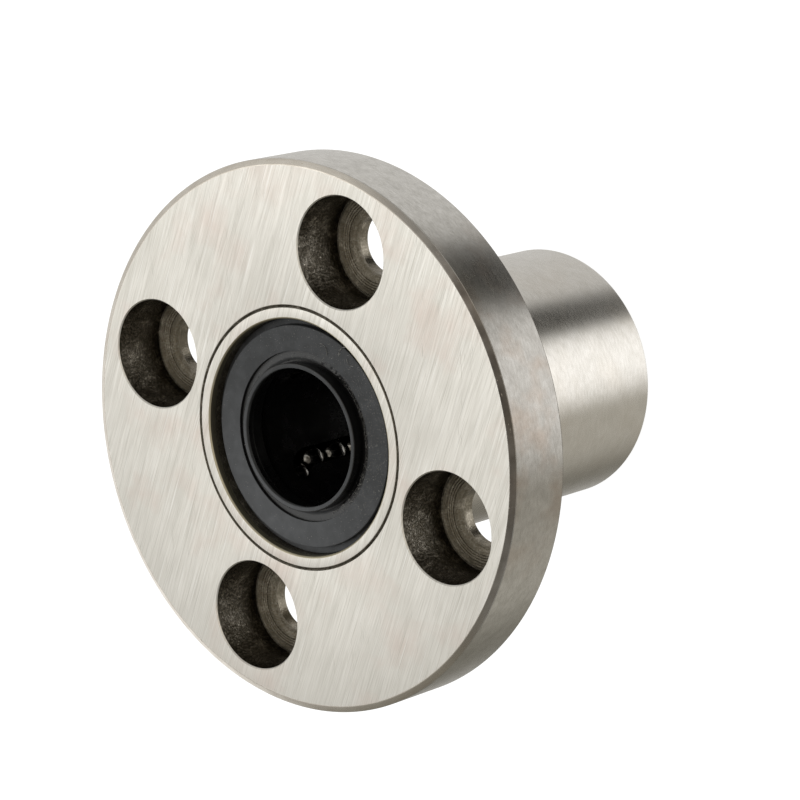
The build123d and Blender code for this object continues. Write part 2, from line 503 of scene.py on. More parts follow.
class Finish(Enum):
    """Every surface of the bearing."""

    # The ground face's scores are painted highlights, with painted shades beside them.
    GROUND_FACE = MachinedSteel(
        "ground_face_steel", Lay.STRAIGHT, "F2EFE8", "C7C4BA", "E0CFC5", 0.36,
        lay_angle=42.0, stain_size=4.5, stain_share=0.5, score_share=0.7,
    )
    # The rim is darker and browner towards -13 degrees: a mottled painted shade, with its stains kept to
    # that side.
    TURNED_RIM = MachinedSteel(
        "turned_rim_steel", Lay.ROUND, "E4E2DE", "B1AEA8", "BFA48E", 0.24,
        mark_length=0.3, mark_spacing=0.1, mark_contrast=0.6, mark_depth=0.0015, scratch_share=0.3,
        blotch_size=0.9, blotch_contrast=0.4, stain_size=3.0, stain_share=0.55,
        painted_shade_side=-13.0, painted_shade_size=1.0,
    )
    GROUND_BARREL = MachinedSteel(
        "ground_barrel_steel", Lay.ROUND, "DEDBD6", "C6C2BA", "CABFAF", 0.25,
        mark_length=0.4, mark_spacing=0.1, mark_depth=0.0006, scratch_share=0.15,
        blotch_size=1.2, blotch_contrast=0.5,
    )
    TURNED_RECESS = MachinedSteel("turned_recess_steel", Lay.ROUND, "BDB59D", "928B75", "7A735E", 0.33)
    # The chamfers are nearly black towards -14 degrees: painted shade.
    WORN_EDGE = MachinedSteel(
        "turned_edge_steel", Lay.ROUND, "E2DCD2", "B9AFA2", "B08F78", 0.26,
        mark_length=0.8, mark_spacing=0.08,
        painted_shade="322B24", painted_shade_side=-14.0, painted_shade_reach=62.0, painted_shade_share=0.97,
    )
    SCALE = ScaledSteel()
    POCKET_WALL = ScaledSteel(
        "chattered_wall_steel", "5A5449", "E6DFD2", 0.24, metallic=1.0, grain_size=0.2, grain_depth=0.042
    )
    DRILLED = ScaledSteel("drilled_steel", "6F695D", "BDB6A9", 0.2, metallic=1.0, grain_depth=0.008)
    BORED_FLOOR = ScaledSteel("bored_floor_steel", "8A8271", "E0D8C9", 0.42, metallic=0.5)
    # The seal's rubber is paler and duller towards -150 degrees.
    RUBBER = MouldedPolymer("nitrile_rubber", "2D2F31", "626467", 0.55, bloom_size=0.9, pale_side=-150.0)
    # The trough floor, with the lip's painted shadow on one side.
    TROUGH = ShadowedTrough()
    # Black, glossy rubber on the seal's walls, in its root groove and down its bore: partly oil, partly
    # painted shade in these creases and recesses.
    OILED_RUBBER = MouldedPolymer("oiled_rubber", "0B0B0C", "161616", 0.25, grain_depth=0.001)
    NYLON = MouldedPolymer("moulded_nylon", "0A0A0B", "151514", 0.16, grain_depth=0.001)
    BALL = LappedSteel()
    SPRING = MachinedSteel("spring_steel", Lay.ROUND, "8F8C86", "6C6963", "77695A", 0.4, mark_spacing=0.1)
    LINT = Lint()

    @property
    def material(self) -> Material:
        """This surface as a material."""
        return self.value.material()


@dataclass(frozen=True)
class Corner:
    """One corner of a turned outline, with the finish of the face that follows it."""

    radius: float
    height: float
    finish: Finish
    rounding: float = 0.0

    def point(self) -> Vector:
        """The corner as a flat vector."""
        return Vector((self.radius, self.height))


@dataclass
class Turning:
    """A solid of revolution about Z, turned from a closed outline of corners."""

    name: str
    corners: list[Corner]
    segments: int = 160
    rounding_steps: int = 4

    def outline(self) -> list[tuple[Vector, Finish]]:
        """Work out the roundings of the outline.

        Returns:
            Each point with the finish of the face that follows it.
        """
        points: list[tuple[Vector, Finish]] = []
        for index, corner in enumerate(self.corners):
            before = self.corners[index - 1]
            after = self.corners[(index + 1) % len(self.corners)]
            here = corner.point()
            if not corner.rounding:
                points.append((here, corner.finish))
                continue
            back, ahead = before.point() - here, after.point() - here
            rooms = [
                edge.length * (SHARED_ROOM if end.rounding else OWN_ROOM)
                for edge, end in ((back, before), (ahead, after))
            ]
            reach = min(corner.rounding, *rooms)
            start, end = here + back.normalized() * reach, here + ahead.normalized() * reach
            for step in range(self.rounding_steps + 1):
                t = step / self.rounding_steps
                spot = start * (1 - t) ** 2 + here * 2 * t * (1 - t) + end * t**2
                points.append((spot, before.finish if step < self.rounding_steps else corner.finish))
        return points

    def build(self) -> Object:
        """Turn the outline into a closed mesh, with a ring of vertices at each point."""
        work = bmesh.new()
        outline = self.outline()
        slots = list(dict.fromkeys(finish for _, finish in outline))
        angles = [2 * pi * k / self.segments for k in range(self.segments)]
        rings = []
        for spot, _ in outline:
            rings.append([work.verts.new((spot.x * cos(a), spot.x * sin(a), spot.y)) for a in angles])
        for index, (_, finish) in enumerate(outline):
            here, ahead = rings[index], rings[(index + 1) % len(rings)]
            for k in range(self.segments):
                n = (k + 1) % self.segments
                face = work.faces.new((here[k], here[n], ahead[n], ahead[k]))
                face.material_index = slots.index(finish)
                face.smooth = True
        bmesh.ops.recalc_face_normals(work, faces=work.faces)
        mesh = bpy.data.meshes.new(self.name)
        work.to_mesh(mesh)
        work.free()
        for finish in slots:
            mesh.materials.append(finish.material)
        return add_object(self.name, mesh)


class Growth(Net):
    """A geometry tree: it is run once on a piece, and leaves a plain mesh."""

    def __init__(self, name: str) -> None:
        """Make the tree and its first sockets."""
        super().__init__(bpy.data.node_groups.new(name, "GeometryNodeTree"))
        self.tree.is_modifier = True
        for way in ("INPUT", "OUTPUT"):
            self.tree.interface.new_socket("Geometry", in_out=way, socket_type="NodeSocketGeometry")
        self.start = self.add("NodeGroupInput")

    def inputs(self, kinds: dict[str, str]) -> list[NodeSocket]:
        """Add named inputs.

        Args:
            kinds: the kind of each input, by its name

        Returns:
            The sockets that carry them.
        """
        for name, kind in kinds.items():
            self.tree.interface.new_socket(name, in_out="INPUT", socket_type="NodeSocket" + kind)
        return [self.start.outputs[name] for name in kinds]

    def finish(self, geometry: Node, material: NodeSocket | None = None) -> None:
        """End the tree: real geometry, smooth, with its material.

        Args:
            geometry: what the tree has made
            material: the material of all of it, or None where faces keep their own
        """
        last = self.add("GeometryNodeRealizeInstances", (geometry,))
        last = self.add("GeometryNodeSetShadeSmooth", (last,))
        if material is not None:
            last = self.add("GeometryNodeSetMaterial", {"Geometry": last, "Material": material})
        self.add("NodeGroupOutput", (last,))

    def run(self, piece: Object, values: dict[str, Any]) -> None:
        """Run the tree on a piece, and keep its result as the piece's own mesh.

        Args:
            piece: the piece, whose mesh goes in
            values: a value for each named input
        """
        modifier = piece.modifiers.new(self.tree.name, "NODES")
        modifier.node_group = self.tree
        for item in self.tree.interface.items_tree:
            if item.in_out == "INPUT" and item.name in values:
                modifier[item.identifier] = values[item.name]
        graph = bpy.context.evaluated_depsgraph_get()
        mesh = bpy.data.meshes.new_from_object(piece.evaluated_get(graph))
        piece.modifiers.clear()
        piece.data = mesh


def cut_pattern() -> Growth:
    """A tree that cuts one shape out of a blank, several times round the axis."""
    growth = Growth("cut_pattern")
    kinds = {"Cutter": "Object", "Count": "Int", "Circle Radius": "Float", "First Angle": "Float"}
    cutter, count, radius, angle = growth.inputs(kinds)
    circle = growth.add("GeometryNodeMeshCircle", {"Vertices": count, "Radius": radius})
    spin = growth.add(COMBINE, {"Z": angle})
    turned = growth.add("GeometryNodeTransform", {"Geometry": circle, "Rotation": spin})
    shape = growth.add("GeometryNodeObjectInfo", {"Object": cutter}).outputs["Geometry"]
    placed = growth.add(INSTANCE, {"Points": turned, "Instance": shape})
    solid = growth.add("GeometryNodeRealizeInstances", (placed,))
    blank = growth.start.outputs["Geometry"]
    cut = growth.add("GeometryNodeMeshBoolean", (blank, solid), operation="DIFFERENCE", solver="EXACT")
    growth.finish(cut)
    return growth


def ball_group() -> Growth:
    """A tree that lays balls along a straight row or round a turn of a circuit.

    A ball's place is its row's start, so many steps on, plus a swing about the
    turn's centre. A straight row has no swing, and a turn has no step.
    """
    growth = Growth("ball_group")
    floats = dict.fromkeys(("Ball Radius", "Swing Radius", "First Angle", "Angle Step", "Facing"), "Float")
    kinds = {"Count": "Int", "Start": "Vector", "Step": "Vector", **floats, "Material": "Material"}
    count, start, step, radius, swing, first, turn_step, circuit_angle, material = growth.inputs(kinds)
    index = growth.add("GeometryNodeInputIndex")
    travelled = growth.add(VECTOR, {0: step, "Scale": index}, operation="SCALE")
    angle = growth.add(MATH, (index, turn_step, first), operation="MULTIPLY_ADD")
    side = growth.add(MATH, (angle,), operation="COSINE")
    rise = growth.add(MATH, (angle,), operation="SINE")
    arm = growth.add(COMBINE, {"Y": side, "Z": rise})
    swung = growth.add(VECTOR, {0: arm, "Scale": swing}, operation="SCALE")
    moved = growth.add(VECTOR, (start, travelled), operation="ADD")
    local = growth.add(VECTOR, (moved, swung), operation="ADD")
    turned = {"Vector": local, "Angle": circuit_angle}
    spot = growth.add("ShaderNodeVectorRotate", turned, rotation_type="Z_AXIS")
    points = growth.add("GeometryNodePoints", {"Count": count, "Position": spot})
    ball = growth.add("GeometryNodeMeshIcoSphere", {"Radius": radius, "Subdivisions": BALL_FINENESS})
    growth.finish(growth.add(INSTANCE, {"Points": points, "Instance": ball}), material)
    return growth


def dusty_points(growth: Growth, least: float) -> tuple[Node, Node]:
    """Strew points on a surface's upward faces, thickest on one side and next to an inner radius.

    Args:
        growth: the tree that gets the points, and the inputs that steer them
        least: the share of the full density that every upward face gets

    Returns:
        The points, and a random size for each.
    """
    floats = dict.fromkeys(("Density", "Inner Radius", "Outer Radius"), "Float")
    kinds = {**floats, "Dusty Side": "Vector", "Seed": "Int"}
    density, inner, outer, dusty_side, seed = growth.inputs(kinds)
    position = growth.add("GeometryNodeInputPosition")
    flat = growth.add(VECTOR, (position, (1.0, 1.0, 0.0)), operation="MULTIPLY")
    reach = growth.add(VECTOR, (flat,), operation="LENGTH")
    ahead = growth.add(VECTOR, (flat, dusty_side), operation="DOT_PRODUCT")
    toward = growth.add(MATH, (ahead, reach), operation="DIVIDE")
    sided = growth.add(RANGE, (toward, *LEAN_SPAN))
    beyond = growth.add(RANGE, (reach, inner, outer))
    band = growth.add(MATH, (1.0, beyond), operation="SUBTRACT")
    past = growth.add(MATH, (reach, inner), operation="GREATER_THAN")
    near = growth.add(MATH, (band, past), operation="MULTIPLY")
    thick = growth.add(MATH, (sided, near), operation="MULTIPLY")
    share = growth.add(MATH, (thick, least), operation="MAXIMUM")
    normal = growth.add("GeometryNodeInputNormal")
    rise = growth.add(VECTOR, (normal, (0.0, 0.0, 1.0)), operation="DOT_PRODUCT")
    upward = growth.add(MATH, (rise, UPWARD), operation="GREATER_THAN")
    wanted = growth.add(MATH, (density, share), operation="MULTIPLY")
    wanted = growth.add(MATH, (wanted, upward), operation="MULTIPLY")
    strewn = {"Mesh": growth.start.outputs["Geometry"], "Density": wanted, "Seed": seed}
    points = growth.add("GeometryNodeDistributePointsOnFaces", strewn, distribute_method="RANDOM")
    smallest, largest = DUST_SIZES
    size = growth.add(RANDOM, {"Min": smallest, "Max": largest, "Seed": seed}, data_type="FLOAT")
    return points, size


def dust_scatter() -> Growth:
    """A tree that scatters specks of dust."""
    growth = Growth("dust_scatter")
    points, size = dusty_points(growth, LEAST_DUST)
    radius, material = growth.inputs({"Radius": "Float", "Material": "Material"})
    grain = growth.add("GeometryNodeMeshIcoSphere", {"Radius": radius, "Subdivisions": SPECK_FINENESS})
    growth.finish(growth.add(INSTANCE, {"Points": points, "Instance": grain, "Scale": size}), material)
    return growth


def lint_fibres() -> Growth:
    """A tree that lays curved fibres flat on a surface, each turned its own way."""
    growth = Growth("lint_fibres")
    points, size = dusty_points(growth, 0.0)
    kinds = {"Curl Radius": "Float", "Radius": "Float", "Material": "Material"}
    curl, thickness, material = growth.inputs(kinds)
    spiral = {
        "Resolution": FIBRE_STEPS,
        "Rotations": FIBRE_TURNS,
        "Start Radius": curl,
        "End Radius": growth.add(MATH, (curl, FIBRE_TIGHTENING), operation="MULTIPLY"),
        "Height": growth.add(MATH, (thickness, FIBRE_RISE), operation="MULTIPLY"),
    }
    line = growth.add("GeometryNodeCurveSpiral", spiral)
    section = {"Resolution": FIBRE_SIDES, "Radius": thickness}
    section = growth.add("GeometryNodeCurvePrimitiveCircle", section)
    tube = {"Curve": line, "Profile Curve": section, "Fill Caps": True}
    fibre = growth.add("GeometryNodeCurveToMesh", tube)
    turns = {"Min": (0.0, 0.0, 0.0), "Max": (0.0, 0.0, 2 * pi)}
    turn = growth.add(RANDOM, turns, data_type="FLOAT_VECTOR")
    strewn = {"Points": points, "Instance": fibre, "Rotation": turn, "Scale": size}
    growth.finish(growth.add(INSTANCE, strewn), material)
    return growth


def settle(piece: Object, body: str, slot: str, *nodes: str) -> None:
    """Finish a piece: real size, crisp edges and its body, with the solids that it stands for hidden.

    Args:
        piece: the piece, made in millimetres
        body: the body that it rides on
        slot: the name of a material slot; not used
        nodes: the nodes that it stands for
    """
    piece.data.transform(Matrix.Scale(MM, 4))
    piece.data.name = piece.name
    piece.data.set_sharp_from_angle(angle=radians(CREASE))
    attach(piece, body)
    if nodes:
        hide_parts(*nodes)
    log.info("%s: %d faces, rides on %s", piece.name, len(piece.data.polygons), body)


@dataclass
class Flange:
    """The round flange: a turned ring with four counterbored screw holes."""

    bore_radius: float = 9.51
    seam_chamfer: float = 0.12
    front_chamfer: float = 0.44
    front_chamfer_depth: float = 0.2
    rear_chamfer: float = 0.3
    edge_rounding: float = 0.05
    rim_rounding: float = 0.04
    seam_rounding: float = 0.02
    screw_count: int = 4
    screw_circle_radius: float = 14.5
    screw_start_angle: float = 45.0
    hole_radius: float = 2.25
    hole_mouth_depth: float = 0.5
    hole_rounding: float = 0.4
    hole_rounding_steps: int = 10
    counterbore_radius: float = 4.0
    counterbore_depth: float = 4.2
    counterbore_chamfer: float = 0.08
    tool_ring_start: float = 0.45
    tool_rings: int = 6
    tool_ring_pitch: float = 0.19
    tool_ring_depth: float = 0.14
    tool_ring_sway: float = 0.5  # how much deeper or shallower a ring may be, as a share
    tool_ring_drift: float = 1.9  # radians between rings, so that no two are equally deep
    relief_width: float = 0.14
    cut_margin: float = 1.0
    ring_segments: int = 240
    pocket_segments: int = 120

    def blank(self) -> Object:
        """The ring before its holes are cut."""
        low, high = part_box("flange")
        radius, front = high.x / MM, high.z / MM
        corners = [
            Corner(self.bore_radius, 0, Finish.GROUND_FACE),
            Corner(radius - self.rear_chamfer, 0, Finish.WORN_EDGE, self.edge_rounding),
            Corner(radius, self.rear_chamfer, Finish.TURNED_RIM, self.edge_rounding),
            Corner(radius, front - self.front_chamfer_depth, Finish.WORN_EDGE, self.rim_rounding),
            Corner(radius - self.front_chamfer, front, Finish.GROUND_FACE, self.edge_rounding),
            Corner(self.bore_radius + self.seam_chamfer, front, Finish.SCALE, self.seam_rounding),
            Corner(self.bore_radius, front - self.seam_chamfer, Finish.SCALE),
        ]
        return Turning("flange_body", corners, self.ring_segments).build()

    def tool_marks(self, floor: float) -> list[Corner]:
        """The rings that the tool left on a counterbore's floor.

        Args:
            floor: the height of the floor

        Returns:
            The corners, from the hole outwards.
        """
        radius = self.hole_radius + self.tool_ring_start
        corners = [Corner(radius, floor, Finish.BORED_FLOOR)]
        for ring in range(self.tool_rings):
            fade = (ring + 0.5) / self.tool_rings
            sway = 1 + self.tool_ring_sway * sin(self.tool_ring_drift * ring)
            depth = self.tool_ring_depth * fade * sway
            corners.append(Corner(radius + self.tool_ring_pitch / 2, floor + depth, Finish.SCALE))
            radius += self.tool_ring_pitch
            corners.append(Corner(radius, floor, Finish.BORED_FLOOR))
        return corners

    def pocket(self) -> Object:
        """The shape that cuts one screw hole, with the tool's rings on its floor."""
        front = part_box("flange")[1].z / MM
        floor = front - self.counterbore_depth
        reach = self.counterbore_chamfer + self.cut_margin
        wall, half = self.counterbore_radius, self.relief_width / 2
        corners = [
            Corner(NEAR_AXIS, -self.cut_margin, Finish.DRILLED),
            Corner(self.hole_radius, -self.cut_margin, Finish.DRILLED),
            Corner(self.hole_radius, floor - self.hole_mouth_depth, Finish.BORED_FLOOR),
            Corner(self.hole_radius, floor, Finish.BORED_FLOOR, self.hole_rounding),
            *self.tool_marks(floor),
            Corner(wall - self.relief_width, floor, Finish.SCALE),
            Corner(wall - half, floor - half, Finish.SCALE),
            Corner(wall, floor, Finish.POCKET_WALL),
            Corner(wall, front - self.counterbore_chamfer, Finish.GROUND_FACE),
            Corner(wall + reach, front + self.cut_margin, Finish.POCKET_WALL),
            Corner(NEAR_AXIS, front + self.cut_margin, Finish.POCKET_WALL),
        ]
        return Turning("screw_pocket", corners, self.pocket_segments, self.hole_rounding_steps).build()

    def build(self, cutting: Growth) -> None:
        """Cut the screw holes and put the flange on its body."""
        body, pocket = self.blank(), self.pocket()
        values = {
            "Cutter": pocket,
            "Count": self.screw_count,
            "Circle Radius": self.screw_circle_radius,
            "First Angle": radians(self.screw_start_angle),
        }
        cutting.run(body, values)
        bpy.data.objects.remove(pocket)
        settle(body, MAIN_BODY, "flange_steel", "flange")


@dataclass
class BallCircuits:
    """The four ball circuits: a loaded row, a return row and two turns in each."""

    count: int = 4
    start_angle: float = 8.0
    ball_diameter: float = 2.38125
    ball_pitch: float = 2.42125
    row_radius: float = 6.205625
    turn_radius: float = 1.71915
    row_advance: float = 0.6
    row_count: int = 7
    turn_count: int = 2
    middle: float = -9.0
    turn_step: float = 90.0

    def lay(self, growth: Growth, kind: str, number: int, values: dict[str, Any]) -> None:
        """Lay one group of balls and put it on its body.

        Args:
            growth: the tree that lays balls
            kind: the group's name without its number
            number: the circuit
            values: where the balls go, in the circuit's own frame
        """
        name = f"{kind}_steel_{number}"
        piece = add_object(name, bpy.data.meshes.new(name))
        common = {
            "Ball Radius": self.ball_diameter / 2,
            "Facing": radians(self.start_angle + 360 / self.count * (number - 1)),
            "Material": Finish.BALL.material,
        }
        growth.run(piece, {**common, **values})
        bodies = {"loaded_balls": "loaded_row", "return_balls": "return_row"}
        body = bodies.get(kind, kind.replace("_balls", ""))
        settle(piece, f"{body}_{number}", "ball_steel", f"{kind}_{number}")

    def build(self, growth: Growth) -> None:
        """Lay every group of every circuit."""
        half = self.row_count * self.ball_pitch / 2
        first_height = self.middle - (self.row_count - 1) / 2 * self.ball_pitch
        rows = (
            ("loaded_balls", 0.0, self.row_advance),
            ("return_balls", 2 * self.turn_radius, -self.row_advance),
        )
        lead = self.turn_step / 2 + self.turn_step * self.row_advance / self.ball_pitch
        turns = (("front_turn_balls", half, 180 - lead), ("rear_turn_balls", -half, -lead))
        for number in range(1, self.count + 1):
            for kind, side, advance in rows:
                values = {
                    "Count": self.row_count,
                    "Start": (self.row_radius, side, first_height + advance),
                    "Step": (0.0, 0.0, self.ball_pitch),
                }
                self.lay(growth, kind, number, values)
            for kind, height, start_angle in turns:
                values = {
                    "Count": self.turn_count,
                    "Start": (self.row_radius, self.turn_radius, self.middle + height),
                    "Swing Radius": self.turn_radius,
                    "First Angle": radians(start_angle),
                    "Angle Step": radians(-self.turn_step),
                }
                self.lay(growth, kind, number, values)


@dataclass
class Sleeve:
    """The hardened sleeve: ground outside, with the return grooves in its bore."""

    circuits: BallCircuits
    seat_radius: float = 8.6
    turn_space_radius: float = 8.405
    raceway_radius: float = 7.416
    groove_radius: float = 8.72
    mouth_chamfer: float = 0.08
    rear_chamfer: float = 0.3
    seam_chamfer: float = 0.12
    relief_width: float = 0.8
    relief_depth: float = 0.2
    # Below this depth the recess wall is dark scale: painted shade deeper in the recess.
    shade_line: float = 0.55
    seal_depth: float = 2.0
    shoulder_depth: float = 2.45
    turn_height: float = 8.474  # from the sleeve's middle to where a row meets its turn
    edge_rounding: float = 0.04
    seam_rounding: float = 0.02
    return_groove_radius: float = 1.290625
    ring_segments: int = 200
    bar_segments: int = 48

    def end(self, face: float, inward: float) -> list[Corner]:
        """The inner outline at one end, from the mouth to the raceway.

        Args:
            face: the height of the sleeve's end
            inward: the way into the sleeve, up or down

        Returns:
            The corners, from the mouth inwards.
        """
        low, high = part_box("outer_sleeve")
        middle = (low.z + high.z) / 2 / MM
        turn = middle - inward * self.turn_height
        slope = self.turn_space_radius - self.raceway_radius
        steps = [
            (self.seat_radius + self.mouth_chamfer, face),
            (self.seat_radius, face + inward * self.mouth_chamfer),
            (self.seat_radius, face + inward * self.shade_line),
            (self.seat_radius, face + inward * self.seal_depth),
            (self.groove_radius, face + inward * self.seal_depth),
            (self.groove_radius, face + inward * self.shoulder_depth),
            (self.turn_space_radius, face + inward * self.shoulder_depth),
            (self.turn_space_radius, turn - inward * slope),
            (self.raceway_radius, turn),
        ]
        return [Corner(radius, height, Finish.TURNED_RECESS) for radius, height in steps]

    def blank(self) -> Object:
        """The sleeve before its return grooves are cut."""
        low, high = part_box("outer_sleeve")
        radius, front, rear = high.x / MM, high.z / MM, low.z / MM
        mouth, *inside = self.end(front, -1)
        # The inside is dark scale below the shade line, which paints the shade deeper in the recess.
        inside = [
            Corner(c.radius, c.height, Finish.SCALE if c.height < front - self.shade_line else c.finish)
            for c in reversed(inside)
        ]
        corners = [
            *inside,
            Corner(mouth.radius, front, Finish.GROUND_FACE, self.edge_rounding),
            Corner(radius - self.seam_chamfer, front, Finish.SCALE, self.seam_rounding),
            Corner(radius, front - self.seam_chamfer, Finish.GROUND_BARREL),
            Corner(radius, 0, Finish.SCALE),
            Corner(radius - self.relief_depth, 0, Finish.SCALE),
            Corner(radius - self.relief_depth, -self.relief_width, Finish.SCALE),
            Corner(radius, -self.relief_width, Finish.GROUND_BARREL, self.edge_rounding),
            Corner(radius, rear + self.rear_chamfer, Finish.GROUND_BARREL, self.edge_rounding),
            Corner(radius - self.rear_chamfer, rear, Finish.GROUND_FACE, self.edge_rounding),
            *self.end(rear, 1),
        ]
        return Turning("sleeve_body", corners, self.ring_segments).build()

    def groove(self) -> Object:
        """The round bar that cuts one return groove."""
        low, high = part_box("outer_sleeve")
        radius = self.return_groove_radius
        ends = ((NEAR_AXIS, low), (radius, low), (radius, high), (NEAR_AXIS, high))
        corners = [Corner(across, end.z / MM, Finish.SCALE) for across, end in ends]
        return Turning("groove_bar", corners, self.bar_segments).build()

    def build(self, cutting: Growth) -> None:
        """Cut the return grooves and put the sleeve on its body."""
        body, bar = self.blank(), self.groove()
        across, along = 2 * self.circuits.turn_radius, self.circuits.row_radius
        values = {
            "Cutter": bar,
            "Count": self.circuits.count,
            "Circle Radius": hypot(along, across),
            "First Angle": radians(self.circuits.start_angle) + atan2(across, along),
        }
        cutting.run(body, values)
        bpy.data.objects.remove(bar)
        settle(body, MAIN_BODY, "sleeve_steel", "outer_sleeve")


@dataclass(frozen=True)
class Litter:
    """One kind of dust on a seal, thickest towards one side and just outside a ring."""

    kind: str
    density: float  # pieces on a square millimetre, where they lie thickest
    thickness: float  # the radius of a speck or a fibre
    side: float  # degrees from +X, of the side where it lies thickest
    inner: float  # how far its ring is from the root of the lip
    width: float
    curl: float = 0.0  # the radius of a fibre's arc; specks have none


@dataclass
class Seal:
    """A rubber seal: a stepped disc with a raised lip round the shaft."""

    rim_width: float = 0.54
    rim_drop: float = 0.5
    bore_radius: float = 5.03
    lip_wall: float = 0.36
    lip_rise: float = 0.55
    lip_band: float = 0.25
    lip_depth: float = 0.7
    trough_width: float = 0.8
    trough_drop: float = 0.27
    root_width: float = 0.3
    root_drop: float = 0.2
    relief: float = 0.3
    edge_rounding: float = 0.09
    step_rounding: float = 0.03
    litter: tuple[Litter, ...] = (
        Litter("dust", 260.0, 0.03, -28.0, 0.0, 0.8),
        Litter("grit", 45.0, 0.026, 46.0, 0.0, 3.2),
        Litter("lint", 2.0, 0.024, 32.0, 0.8, 1.6, 1.1),
    )

    def outline(self, node: str) -> list[Corner]:
        """The seal's section, from its own box.

        Args:
            node: the seal's node

        Returns:
            The corners, lip upwards for the front seal and downwards for the rear.
        """
        low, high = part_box(node)
        radius = high.x / MM
        outward = 1 if node.startswith("front") else -1
        top, back = (high.z, low.z) if outward == 1 else (low.z, high.z)
        top, back = top / MM, back / MM
        bore = self.bore_radius
        lip = bore + self.lip_wall
        trough = lip + self.trough_width
        face = radius - self.rim_width
        rim = self.lip_rise + self.rim_drop
        floor = self.lip_rise + self.trough_drop
        root = floor + self.root_drop
        soft, crisp = self.edge_rounding, self.step_rounding
        # The walls and the root groove are black, partly oil and partly painted shade; the trough floor
        # holds the lip's painted shadow on one side.
        dry, oiled_shaded, lip_shadowed = Finish.RUBBER, Finish.OILED_RUBBER, Finish.TROUGH
        steps = [
            (radius, rim, dry, soft),
            (face, rim, dry, soft),
            (face, self.lip_rise, dry, soft),
            (trough, self.lip_rise, oiled_shaded, crisp),
            (trough, floor, lip_shadowed, crisp),
            (lip + self.root_width, floor, lip_shadowed, soft),
            (lip + self.root_width / 3, root, oiled_shaded, 0.0),
            (lip, root, oiled_shaded, 0.0),
            (lip, 0.0, dry, soft),
            (bore, 0.0, dry, soft),
            (bore, self.lip_band, oiled_shaded, 0.0),
            (bore, self.lip_depth, oiled_shaded, soft / 2),
            (bore + self.relief, self.lip_depth + self.relief, oiled_shaded, 0.0),
        ]
        shown = [Corner(r, top - outward * drop, finish, rounding) for r, drop, finish, rounding in steps]
        return [Corner(radius, back, dry), *shown, Corner(bore + self.relief, back, dry)]

    def build(self, node: str) -> Object:
        """Turn one seal and put it on its body."""
        piece = Turning(f"{node}_body", self.outline(node)).build()
        settle(piece, MAIN_BODY, "seal_rubber", node)
        return piece

    def dust(self, seal: Object, scatter: Growth, fibres: Growth) -> None:
        """Strew dust beside the lip, and grit and a few fibres further out.

        Args:
            seal: the seal's finished piece
            scatter: the tree that scatters specks
            fibres: the tree that lays fibres
        """
        root = self.bore_radius + self.lip_wall + self.root_width
        for litter in self.litter:
            piece = add_object(f"{seal.name}_{litter.kind}", seal.data.copy())
            piece.data.transform(Matrix.Scale(1 / MM, 4))
            piece.data.materials.clear()
            inner = root + litter.inner
            values = {
                "Density": litter.density,
                "Inner Radius": inner,
                "Outer Radius": inner + litter.width,
                "Dusty Side": flat_heading(litter.side),
                "Seed": DUST_SEED,
                "Curl Radius": litter.curl,
                "Radius": litter.thickness,
                "Material": Finish.LINT.material,
            }
            growth = fibres if litter.curl else scatter
            growth.run(piece, values)
            settle(piece, MAIN_BODY, "seal_rubber")


def dress_inner_parts() -> None:
    """Finish the retainer and the stop rings, whose solids already have their true form."""
    dressed = {
        "ball_retainer": Finish.NYLON,
        "front_stop_ring": Finish.SPRING,
        "rear_stop_ring": Finish.SPRING,
    }
    for node, finish in dressed.items():
        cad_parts[node].material_slots[0].material = finish.material
        log.info("%s: dressed in %s", node, finish.material.name)


@dataclass(frozen=True)
class Card:
    """One card or softbox of the studio, as a round patch of the surroundings.

    The azimuth and elevation say where it stands, seen from the bearing, and
    its brightness falls from the inner to the outer angle. Degrees throughout.
    """

    azimuth: float
    elevation: float
    inner: float = 0.0
    outer: float = 0.0
    colour: str = "FFFFFF"
    strength: float = 1.0

    def heading(self) -> Vector:
        """The way to the card, as a unit vector."""
        az, el = radians(self.azimuth), radians(self.elevation)
        return Vector((cos(el) * cos(az), cos(el) * sin(az), sin(el)))


